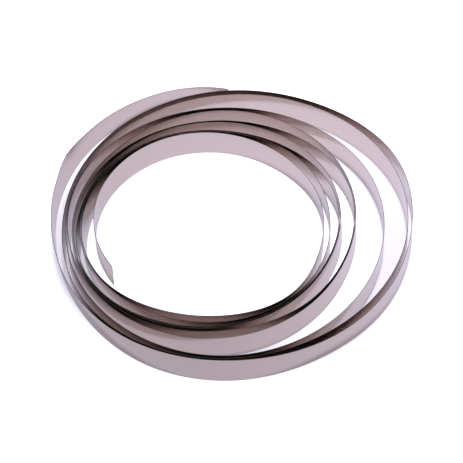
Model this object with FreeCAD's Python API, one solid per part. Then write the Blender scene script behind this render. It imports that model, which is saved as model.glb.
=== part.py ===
import FreeCAD, Part
import math
import os

# A length of bare nickel strip, wound by hand into a loose springy coil.
# The coil stands on one edge of the strip.  Millimetres, +Z up, the front of the coil towards -Y.
# The origin is on the floor, under the middle of the coil's outline.

# Stock size
strip_width = 8.0
strip_thickness = 0.15

# The coil's size, against the distances in `turns`: 1 leaves them as they are
coil_spread = 1.0

# The strip winds clockwise, seen from above, from its inner end to its outer end.
# Twelve stations a turn are numbered clockwise from the left: 0 left, 3 back, 6 right, 9 front.
stations = 12
inner_end = -0.88
outer_end = 110.96

# Distance of the strip's upper edge from the coil's middle at each station, one row a turn.
# They steer a smooth curve, which passes a little to one side of each.
lead_in = [33.5, 36.0]
turns = [
    [38.2, 38.5, 37.2, 33.3, 28.4, 26.0, 24.8, 25.8, 31.1, 33.1, 36.4, 41.5],
    [41.4, 39.5, 37.6, 33.7, 31.3, 27.9, 26.4, 27.9, 31.5, 35.3, 38.7, 41.4],
    [42.2, 39.9, 38.0, 34.2, 31.9, 30.9, 29.0, 28.8, 32.0, 36.6, 40.8, 44.4],
    [42.4, 40.4, 39.9, 38.0, 34.9, 31.6, 29.4, 29.2, 32.6, 37.1, 41.4, 44.6],
    [43.2, 41.7, 40.3, 38.5, 37.1, 35.9, 33.0, 32.9, 35.8, 38.2, 42.7, 44.8],
    [43.7, 42.5, 42.5, 43.3, 39.8, 36.3, 33.4, 33.3, 36.8, 41.3, 44.3, 44.7],
    [45.0, 45.3, 44.4, 43.7, 43.0, 42.5, 41.4, 42.1, 44.9, 48.0, 48.0, 46.4],
    [45.4, 45.8, 47.2, 49.1, 50.0, 50.0, 48.2, 46.6, 46.7, 48.4, 49.8, 48.5],
    [45.8, 46.7, 48.8, 50.9, 51.1, 53.0, 48.7, 48.4, 49.0, 48.9, 50.4, 49.4],
]
lead_out = [48.8, 52.6, 54.0, 53.2, 39.5]

# How far the upper edge stands outside the lower one, at the same stations
lead_in_lean = [0.2, 0.4]
leans = [
    [0.4, 0.7, 0.5, 0.0, -0.5, -0.8, 0.1, 0.1, 0.0, 0.0, 0.2, 0.7],
    [1.4, 0.6, 0.4, 0.0, -0.3, -0.5, -0.2, 0.1, 0.0, 0.0, 0.1, 0.5],
    [1.3, 0.6, 0.4, 0.0, -0.3, -0.7, -0.5, -0.2, 0.0, 0.0, 0.2, 0.4],
    [1.2, 0.6, 0.3, 0.0, -0.2, -0.7, -0.6, -0.3, 0.0, 0.0, 0.3, 0.4],
    [1.1, 0.6, 0.3, 0.0, -0.2, -0.5, -0.2, -0.1, 0.0, 0.2, 0.3, 0.4],
    [0.8, 0.4, 0.2, 0.0, -0.2, -0.5, -0.3, -0.1, 0.1, 0.3, 0.3, 0.3],
    [0.8, 0.4, 0.2, 0.0, -0.4, -0.6, 0.0, 0.1, 0.0, 0.0, 0.1, 0.5],
    [0.7, 0.3, 0.1, 0.0, 0.0, 0.0, 0.0, 0.0, 0.1, -0.1, 0.4, 1.4],
    [0.5, 0.3, 0.1, 0.0, 0.0, 0.0, -0.2, 0.2, 1.6, -1.0, 0.5, 1.9],
]
lead_out_lean = [0.7, 1.2, -1.4, -2.0, -2.0]

# A shallow kink in the upper edge near the outer end, where the strip was once bent
kink_station = 108.97
kink_out = 0.7
kink_reach = 0.35

# The curve is drawn a span at a time, with this many points along each.
# Directions along it are taken between places this far apart, in stations.
points_per_span = 6
nearby = 0.001


def steering(first, rows, last):
    return first + [value for row in rows for value in row] + last


distances = steering(lead_in, turns, lead_out)
edge_leans = steering(lead_in_lean, leans, lead_out_lean)
first_station = -len(lead_in)


def blend(values, station):
    """A smooth value between the four steering values around a station."""
    place = station - first_station
    index = int(place)
    part = place - index
    before, here, after, beyond = values[index - 1:index + 3]
    weight_before = (1 - part) ** 3 / 6
    weight_here = (3 * part ** 3 - 6 * part ** 2 + 4) / 6
    weight_after = (-3 * part ** 3 + 3 * part ** 2 + 3 * part + 1) / 6
    weight_beyond = part ** 3 / 6
    return (weight_before * before + weight_here * here
            + weight_after * after + weight_beyond * beyond)


def kink(station):
    return kink_out * max(0.0, 1 - abs(station - kink_station) / kink_reach)


def edge_point(station, upper):
    """A point on the middle of the strip's upper or lower edge."""
    lean = blend(edge_leans, station) + kink(station)
    distance = blend(distances, station) * coil_spread
    height = 0.0
    if upper:
        distance += kink(station)
        height = math.sqrt(strip_width ** 2 - lean ** 2)
    else:
        distance -= blend(edge_leans, station)
    angle = math.pi - 2 * math.pi * station / stations
    return FreeCAD.Vector(distance * math.cos(angle), distance * math.sin(angle), height)


def edge_direction(upper, behind, ahead):
    """The level direction along an edge between two stations that are close together."""
    along = edge_point(ahead, upper) - edge_point(behind, upper)
    along.z = 0
    return along.normalize()


def side_point(station, upper, outward):
    """A corner of the strip's section: half the thickness to either side of the edge's middle."""
    along = edge_direction(upper, station - nearby, station + nearby)
    across = FreeCAD.Vector(-along.y, along.x, 0)
    return edge_point(station, upper) + across * (outward * strip_thickness / 2)


def side_curve(start, finish, upper, outward):
    """One long edge of the strip, from one station to the next."""
    step = (finish - start) / (points_per_span - 1)
    places = [start + step * number for number in range(points_per_span - 1)] + [finish]
    curve = Part.BSplineCurve()
    curve.interpolate(
        Points=[side_point(place, upper, outward) for place in places],
        InitialTangent=edge_direction(upper, start, start + nearby),
        FinalTangent=edge_direction(upper, finish - nearby, finish),
    )
    return curve.toShape()


def floor_face(inner, outer):
    """A span of the lower slit edge, as a flat face on the floor."""
    inner_start, inner_finish = [corner.Point for corner in inner.Vertexes]
    outer_start, outer_finish = [corner.Point for corner in outer.Vertexes]
    near = Part.LineSegment(inner_start, outer_start).toShape()
    far = Part.LineSegment(inner_finish, outer_finish).toShape()
    return Part.Face(Part.Wire([inner, far, outer, near]))


def span_faces(start, finish):
    """The strip's two broad faces and its two slit edges over one span, as four faces."""
    curves = {}
    for upper in (False, True):
        for outward in (-1, 1):
            curves[upper, outward] = side_curve(start, finish, upper, outward)
    return [
        Part.makeRuledSurface(curves[False, -1], curves[True, -1]),
        Part.makeRuledSurface(curves[False, 1], curves[True, 1]),
        Part.makeRuledSurface(curves[True, -1], curves[True, 1]),
        floor_face(curves[False, -1], curves[False, 1]),
    ]


def end_face(station):
    """The square-cut end of the strip."""
    corners = {}
    for upper in (False, True):
        for outward in (-1, 1):
            corners[upper, outward] = side_point(station, upper, outward)
    lower = Part.LineSegment(corners[False, -1], corners[False, 1]).toShape()
    higher = Part.LineSegment(corners[True, -1], corners[True, 1]).toShape()
    return Part.makeRuledSurface(lower, higher)


def span_ends():
    """Where the spans meet: at each station, at the kink and at the two cut ends."""
    first = math.floor(inner_end) + 1
    last = math.ceil(outer_end) - 1
    inside = [float(station) for station in range(first, last + 1)]
    return sorted([inner_end] + inside + [kink_station, outer_end])


def strip():
    ends = span_ends()
    faces = [end_face(inner_end), end_face(outer_end)]
    for start, finish in zip(ends, ends[1:]):
        faces += span_faces(start, finish)
    shell = Part.makeShell(faces)
    shell.sewShape()
    solid = Part.Solid(shell)
    if solid.Volume < 0:
        solid.reverse()
    return solid


def strip_length():
    """The strip's length, along the middle of its lower edge."""
    samples = 4000
    step = (outer_end - inner_end) / samples
    points = [edge_point(inner_end + step * number, False) for number in range(samples + 1)]
    return sum((after - before).Length for before, after in zip(points, points[1:]))


solid = strip()
box = solid.BoundBox
solid.translate(FreeCAD.Vector(-box.Center.x, -box.Center.y, -box.ZMin))

length = strip_length()
plain_volume = length * strip_width * strip_thickness
print("valid", solid.isValid(), "closed", solid.isClosed(), "faces", len(solid.Faces))
print("strip length", round(length, 1), "volume", round(solid.Volume, 2), "plain", round(plain_volume, 2))
print("box", [round(size, 2) for size in (box.XLength, box.YLength, box.ZLength)])
print("centre moved by", round(-box.Center.x, 3), round(-box.Center.y, 3))

os.makedirs("parts", exist_ok=True)
solid.exportStep("parts/nickel_strip.step")
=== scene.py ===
import math

import bmesh
import bpy
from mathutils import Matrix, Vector


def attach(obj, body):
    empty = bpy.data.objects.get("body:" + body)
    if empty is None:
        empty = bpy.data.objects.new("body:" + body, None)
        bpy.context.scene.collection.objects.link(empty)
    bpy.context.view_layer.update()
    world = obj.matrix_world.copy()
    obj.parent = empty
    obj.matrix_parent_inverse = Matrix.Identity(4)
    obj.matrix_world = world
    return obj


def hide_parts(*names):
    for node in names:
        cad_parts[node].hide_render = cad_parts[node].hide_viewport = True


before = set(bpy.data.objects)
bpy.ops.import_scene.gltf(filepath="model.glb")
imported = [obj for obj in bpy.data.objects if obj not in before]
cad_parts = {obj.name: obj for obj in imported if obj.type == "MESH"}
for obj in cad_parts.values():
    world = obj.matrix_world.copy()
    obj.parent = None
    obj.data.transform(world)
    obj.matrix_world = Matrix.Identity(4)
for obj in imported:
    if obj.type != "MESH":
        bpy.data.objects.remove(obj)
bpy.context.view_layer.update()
mm = 0.001


def aimAt(thing, target):
    thing.rotation_euler = (Vector(target) - thing.location).to_track_quat("-Z", "Y").to_euler()


# the strip's path, the same one as the CAD part's, in millimetres
strip = {
    "width": 8.0,
    "thickness": 0.144,  # a hair under the CAD part's 0.15
    "edgeRounding": 0.03,
    "roundingSteps": 2,
    "roundedOver": 50,  # degrees; flatter corners stay as they are
    "lowerTrim": 0.012,  # keeps the leaning lower edge on or above the floor
    "stationsPerTurn": 12,
    "innerEnd": -0.88,
    "outerEnd": 110.96,
    "firstStation": -2,
    "moved": (-0.051, -2.145),  # puts the coil's outline over the origin
    "stepsPerStation": 24,
    "stepsAcross": 6,
    # the upper edge's distance from the coil's middle, one row a turn
    "distances": [
        33.5, 36.0,
        38.2, 38.5, 37.2, 33.3, 28.4, 26.0, 24.8, 25.8, 31.1, 33.1, 36.4, 41.5,
        41.4, 39.5, 37.6, 33.7, 31.3, 27.9, 26.4, 27.9, 31.5, 35.3, 38.7, 41.4,
        42.2, 39.9, 38.0, 34.2, 31.9, 30.9, 29.0, 28.8, 32.0, 36.6, 40.8, 44.4,
        42.4, 40.4, 39.9, 38.0, 34.9, 31.6, 29.4, 29.2, 32.6, 37.1, 41.4, 44.6,
        43.2, 41.7, 40.3, 38.5, 37.1, 35.9, 33.0, 32.9, 35.8, 38.2, 42.7, 44.8,
        43.7, 42.5, 42.5, 43.3, 39.8, 36.3, 33.4, 33.3, 36.8, 41.3, 44.3, 44.7,
        45.0, 45.3, 44.4, 43.7, 43.0, 42.5, 41.4, 42.1, 44.9, 48.0, 48.0, 46.4,
        45.4, 45.8, 47.2, 49.1, 50.0, 50.0, 48.2, 46.6, 46.7, 48.4, 49.8, 48.5,
        45.8, 46.7, 48.8, 50.9, 51.1, 53.0, 48.7, 48.4, 49.0, 48.9, 50.4, 49.4,
        48.8, 52.6, 54.0, 53.2, 39.5,
    ],
    # how far the upper edge stands outside the lower one
    "leans": [
        0.2, 0.4,
        0.4, 0.7, 0.5, 0.0, -0.5, -0.8, 0.1, 0.1, 0.0, 0.0, 0.2, 0.7,
        1.4, 0.6, 0.4, 0.0, -0.3, -0.5, -0.2, 0.1, 0.0, 0.0, 0.1, 0.5,
        1.3, 0.6, 0.4, 0.0, -0.3, -0.7, -0.5, -0.2, 0.0, 0.0, 0.2, 0.4,
        1.2, 0.6, 0.3, 0.0, -0.2, -0.7, -0.6, -0.3, 0.0, 0.0, 0.3, 0.4,
        1.1, 0.6, 0.3, 0.0, -0.2, -0.5, -0.2, -0.1, 0.0, 0.2, 0.3, 0.4,
        0.8, 0.4, 0.2, 0.0, -0.2, -0.5, -0.3, -0.1, 0.1, 0.3, 0.3, 0.3,
        0.8, 0.4, 0.2, 0.0, -0.4, -0.6, 0.0, 0.1, 0.0, 0.0, 0.1, 0.5,
        0.7, 0.3, 0.1, 0.0, 0.0, 0.0, 0.0, 0.0, 0.1, -0.1, 0.4, 1.4,
        0.5, 0.3, 0.1, 0.0, 0.0, 0.0, -0.2, 0.2, 1.6, -1.0, 0.5, 1.9,
        0.7, 1.2, -1.4, -2.0, -2.0,
    ],
    "kinkStation": 108.97,
    "kinkSlant": 0.14,  # the crease runs on a little towards the lower edge
    "kinkOut": 0.7,
    "kinkReach": 0.35,
}


def blend(values, station):
    place = station - strip["firstStation"]
    index = int(place)
    part = place - index
    before, here, after, beyond = values[index - 1:index + 3]
    return ((1 - part) ** 3 * before + (3 * part ** 3 - 6 * part ** 2 + 4) * here
            + (-3 * part ** 3 + 3 * part ** 2 + 3 * part + 1) * after + part ** 3 * beyond) / 6


def stripPoint(along, up):
    # along runs 0 to 1 from the inner end to the outer one, up runs 0 to 1 from the floor
    station = strip["innerEnd"] + along * (strip["outerEnd"] - strip["innerEnd"])
    lean = blend(strip["leans"], station)
    crease = strip["kinkStation"] + strip["kinkSlant"] * (1 - up)
    kink = strip["kinkOut"] * max(0.0, 1 - abs(station - crease) / strip["kinkReach"]) * up
    distance = blend(strip["distances"], station) - lean * (1 - up) + kink
    height = math.sqrt(strip["width"] ** 2 - (lean + kink) ** 2) * up + strip["lowerTrim"] * (1 - up)
    angle = math.pi - 2 * math.pi * station / strip["stationsPerTurn"]
    return Vector((
        distance * math.cos(angle) + strip["moved"][0],
        distance * math.sin(angle) + strip["moved"][1],
        height,
    )) * mm


def makeStrip():
    stations = strip["outerEnd"] - strip["innerEnd"]
    mesh = bpy.data.meshes.new("nickelStrip")
    shape = bmesh.new()
    shape.loops.layers.uv.new("unrolled")
    bmesh.ops.create_grid(
        shape,
        x_segments=round(stations * strip["stepsPerStation"]),
        y_segments=strip["stepsAcross"],
        size=0.5,
        calc_uvs=True,
    )
    for vertex in shape.verts:
        vertex.co = stripPoint(vertex.co.x + 0.5, vertex.co.y + 0.5)
    for face in shape.faces:
        face.smooth = True
    shape.to_mesh(mesh)
    shape.free()
    made = bpy.data.objects.new("nickelStrip", mesh)
    bpy.context.scene.collection.objects.link(made)
    wall = made.modifiers.new("gauge", "SOLIDIFY")
    wall.thickness = strip["thickness"] * mm
    wall.offset = 0
    wall.use_even_offset = True
    # the rims get the second material, whose dark colour is painted shade
    wall.material_offset_rim = 1
    slit = made.modifiers.new("slitEdges", "BEVEL")
    slit.width = strip["edgeRounding"] * mm
    slit.segments = strip["roundingSteps"]
    slit.limit_method = "ANGLE"
    slit.angle_limit = math.radians(strip["roundedOver"])
    slit.harden_normals = True
    return made


# rolled nickel: pale, faintly warm, drawn out into fine lines along the strip
finish = {
    "colour": (0.69, 0.61, 0.575),
    "dullColour": (0.65, 0.57, 0.535),
    "grazingTint": (0.94, 0.96, 1.0),
    "roughness": 0.17,
    "roughnessSpread": 0.03,  # either way, from line to line
    "anisotropic": 0.4,
    "length": 2369.7,  # of the unrolled strip, in millimetres
    # noise on the unrolled strip: a mark's length in millimetres, marks across the width, and detail
    "rollLines": (60, 45, 3),
    "clouds": (18, 1.2, 2),
    "lineRelief": 0.25,  # how strongly the lines stand out
    "lineDepth": 0.01,  # in millimetres
}
# the slit edges: rougher metal, with their colour darkened as painted shade standing in for the dark
# gaps between the turns
slitPaintedShadeFinish = dict(finish, colour=(0.30, 0.26, 0.24), dullColour=(0.2, 0.17, 0.16), roughness=0.4)


def makeFinish(materialName, look):
    material = bpy.data.materials.new(materialName)
    material.use_nodes = True
    nodes, links = material.node_tree.nodes, material.node_tree.links
    shader = nodes["Principled BSDF"]
    shader.inputs["Metallic"].default_value = 1
    shader.inputs["Anisotropic"].default_value = look["anisotropic"]
    shader.inputs["Specular Tint"].default_value = (*look["grazingTint"], 1)
    place = nodes.new("ShaderNodeUVMap")
    place.uv_map = "unrolled"
    tangent = nodes.new("ShaderNodeTangent")
    tangent.direction_type = "UV_MAP"
    tangent.uv_map = "unrolled"
    links.new(tangent.outputs["Tangent"], shader.inputs["Tangent"])

    def stretched(pattern):
        patternLength, timesAcross, detail = look[pattern]
        scale = nodes.new("ShaderNodeVectorMath")
        scale.operation = "MULTIPLY"
        scale.inputs[1].default_value = (look["length"] / patternLength, timesAcross, 1)
        links.new(place.outputs["UV"], scale.inputs[0])
        noise = nodes.new("ShaderNodeTexNoise")
        noise.name = pattern
        noise.inputs["Scale"].default_value = 1
        noise.inputs["Detail"].default_value = detail
        links.new(scale.outputs["Vector"], noise.inputs["Vector"])
        return noise.outputs["Fac"]

    rollLines = stretched("rollLines")
    clouds = stretched("clouds")
    tone = nodes.new("ShaderNodeMix")
    tone.data_type = "RGBA"
    tone.inputs["A"].default_value = (*look["dullColour"], 1)
    tone.inputs["B"].default_value = (*look["colour"], 1)
    links.new(clouds, tone.inputs["Factor"])
    links.new(tone.outputs["Result"], shader.inputs["Base Color"])
    rough = nodes.new("ShaderNodeMapRange")
    rough.inputs["To Min"].default_value = look["roughness"] - look["roughnessSpread"]
    rough.inputs["To Max"].default_value = look["roughness"] + look["roughnessSpread"]
    links.new(rollLines, rough.inputs["Value"])
    links.new(rough.outputs["Result"], shader.inputs["Roughness"])
    bump = nodes.new("ShaderNodeBump")
    bump.inputs["Strength"].default_value = look["lineRelief"]
    bump.inputs["Distance"].default_value = look["lineDepth"] * mm
    links.new(rollLines, bump.inputs["Height"])
    links.new(bump.outputs["Normal"], shader.inputs["Normal"])
    return material


nickelStrip = makeStrip()
nickelStrip.data.materials.append(makeFinish("rolledNickel", finish))
nickelStrip.data.materials.append(makeFinish("slitNickelPaintedShade", slitPaintedShadeFinish))
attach(nickelStrip, "root")
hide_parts("nickel_strip")
print("strip made")

# the white floor, which holds the coil's own shadow
ground = {
    "reach": 4.0,
    "drop": 0.00002,
    "albedo": (0.86, 0.80, 0.95),
    "glow": (0.97, 0.93, 1.06),
    # how much the floor is lifted where it is seen straight, against metres from the middle; the dip in
    # a ring under the turns darkens the floor there as painted shade
    "lift": [(0.0385, 1.0), (0.0425, 0.52), (0.0485, 0.52), (0.0505, 1.0)],
    "mirroredLift": 0.38,  # and where it is seen in the metal
}


def makeFloor():
    mesh = bpy.data.meshes.new("floor")
    shape = bmesh.new()
    bmesh.ops.create_grid(shape, x_segments=1, y_segments=1, size=ground["reach"])
    bmesh.ops.translate(shape, verts=shape.verts, vec=(0, 0, -ground["drop"]))
    shape.to_mesh(mesh)
    shape.free()
    made = bpy.data.objects.new("floor", mesh)
    bpy.context.scene.collection.objects.link(made)
    material = bpy.data.materials.new("whiteFloor")
    material.use_nodes = True
    nodes, links = material.node_tree.nodes, material.node_tree.links
    nodes.remove(nodes["Principled BSDF"])
    paint = nodes.new("ShaderNodeBsdfDiffuse")
    paint.inputs["Color"].default_value = (*ground["albedo"], 1)
    glow = nodes.new("ShaderNodeEmission")
    glow.inputs["Color"].default_value = (*ground["glow"], 1)
    ray = nodes.new("ShaderNodeLightPath")
    mirrored = nodes.new("ShaderNodeMath")
    mirrored.operation = "MULTIPLY"
    mirrored.inputs[1].default_value = ground["mirroredLift"]
    links.new(ray.outputs["Is Glossy Ray"], mirrored.inputs[0])
    # lifted least in a ring under the turns, so that their real shade shows between them, deepened
    # there by painted shade from the lowered glow
    place = nodes.new("ShaderNodeTexCoord")
    reach = nodes.new("ShaderNodeVectorMath")
    reach.operation = "LENGTH"
    links.new(place.outputs["Object"], reach.inputs[0])
    spread = nodes.new("ShaderNodeMapRange")
    spread.inputs["From Max"].default_value = ground["lift"][-1][0]
    links.new(reach.outputs["Value"], spread.inputs["Value"])
    paintedShadeRing = nodes.new("ShaderNodeValToRGB")
    while len(paintedShadeRing.color_ramp.elements) < len(ground["lift"]):
        paintedShadeRing.color_ramp.elements.new(1)
    for stop, (distance, amount) in zip(paintedShadeRing.color_ramp.elements, ground["lift"]):
        stop.position = distance / ground["lift"][-1][0]
        stop.color = (amount, amount, amount, 1)
    links.new(spread.outputs["Result"], paintedShadeRing.inputs["Fac"])
    lift = nodes.new("ShaderNodeMath")
    lift.operation = "MULTIPLY_ADD"
    links.new(paintedShadeRing.outputs["Color"], lift.inputs[1])
    links.new(ray.outputs["Is Camera Ray"], lift.inputs[0])
    links.new(mirrored.outputs["Value"], lift.inputs[2])
    links.new(lift.outputs["Value"], glow.inputs["Strength"])
    both = nodes.new("ShaderNodeAddShader")
    links.new(paint.outputs["BSDF"], both.inputs[0])
    links.new(glow.outputs["Emission"], both.inputs[1])
    links.new(both.outputs["Shader"], nodes["Material Output"].inputs["Surface"])
    mesh.materials.append(material)
    return made


floor = makeFloor()
print("floor made")

# a broad soft pool of light from above the back right, in an even pale surround
light = {"place": (0.066, 0.084, 1.0), "size": 0.3, "cone": 16.6, "power": 57, "world": 0.09}

lamp = bpy.data.lights.new("overhead", "SPOT")
lamp.energy = light["power"]
lamp.shadow_soft_size = light["size"] / 2
lamp.spot_size = math.radians(light["cone"])
lamp.spot_blend = 1
overhead = bpy.data.objects.new("overhead", lamp)
overhead.location = light["place"]
bpy.context.scene.collection.objects.link(overhead)

world = bpy.data.worlds.new("surround")
world.use_nodes = True
world.node_tree.nodes["Background"].inputs["Color"].default_value = (1, 1, 1, 1)
world.node_tree.nodes["Background"].inputs["Strength"].default_value = light["world"]
bpy.context.scene.world = world
print("lights made")

# a long lens looking down at the front
eye = {
    "elevation": 48,
    "distance": 0.9,
    "target": (-0.000188, -0.002043, 0.004092),
    "lens": 254.7,
    "sensor": 36,
    "clip": (0.05, 20),
}

lens = bpy.data.cameras.new("camera")
lens.lens = eye["lens"]
lens.sensor_width = eye["sensor"]
lens.clip_start, lens.clip_end = eye["clip"]
camera = bpy.data.objects.new("camera", lens)
tilt = math.radians(eye["elevation"])
camera.location = Vector(eye["target"]) + eye["distance"] * Vector((0, -math.cos(tilt), math.sin(tilt)))
aimAt(camera, eye["target"])
bpy.context.scene.collection.objects.link(camera)
bpy.context.scene.camera = camera
bpy.context.scene.view_settings.view_transform = "Standard"
print("camera made")
